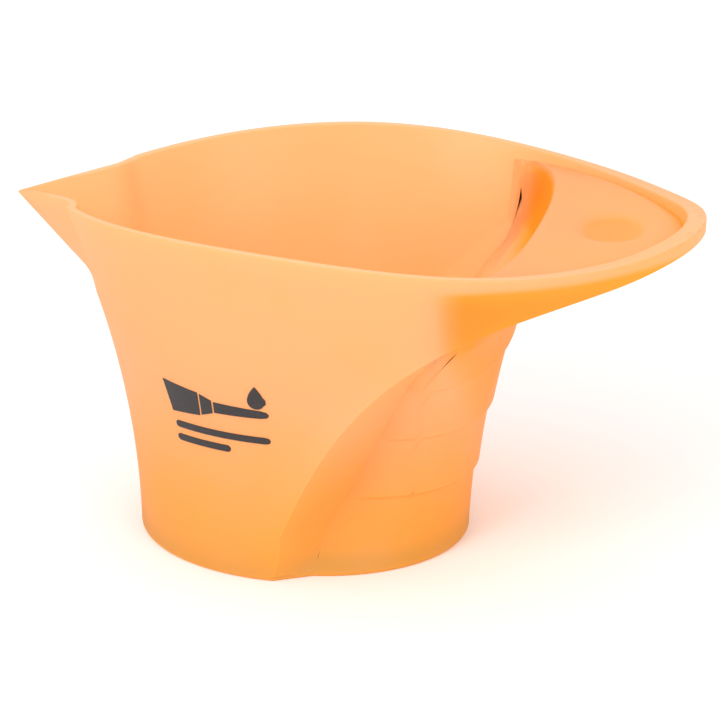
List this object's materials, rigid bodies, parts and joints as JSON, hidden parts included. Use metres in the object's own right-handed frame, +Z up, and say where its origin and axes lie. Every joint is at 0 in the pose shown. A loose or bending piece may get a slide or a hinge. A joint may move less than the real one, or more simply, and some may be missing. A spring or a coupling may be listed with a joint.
{
  "type": "hair colour bowl",
  "caption": "Thin-walled mixing bowl with a pouring spout, a leaning lip, a stepped rear wall and a broad thumb-rest handle over a finger hollow.",
  "frame": {"origin": "middle of the oval base's seat on the table, where the spout-to-handle plane crosses the base's widest line", "axes": "+X from the spout to the handle, +Z up, the object is a mirror image of itself over y = 0"},
  "size_m": [0.156, 0.11, 0.081],
  "materials": {
    "moulding": "translucent orange plastic with a fine satin texture",
    "ink": "black pad-printed ink"
  },
  "bodies": {
    "root": {"bowl": "moulding", "print_brush": "ink", "print_drop": "ink", "print_rules": "ink"}
  },
  "joints": []
}
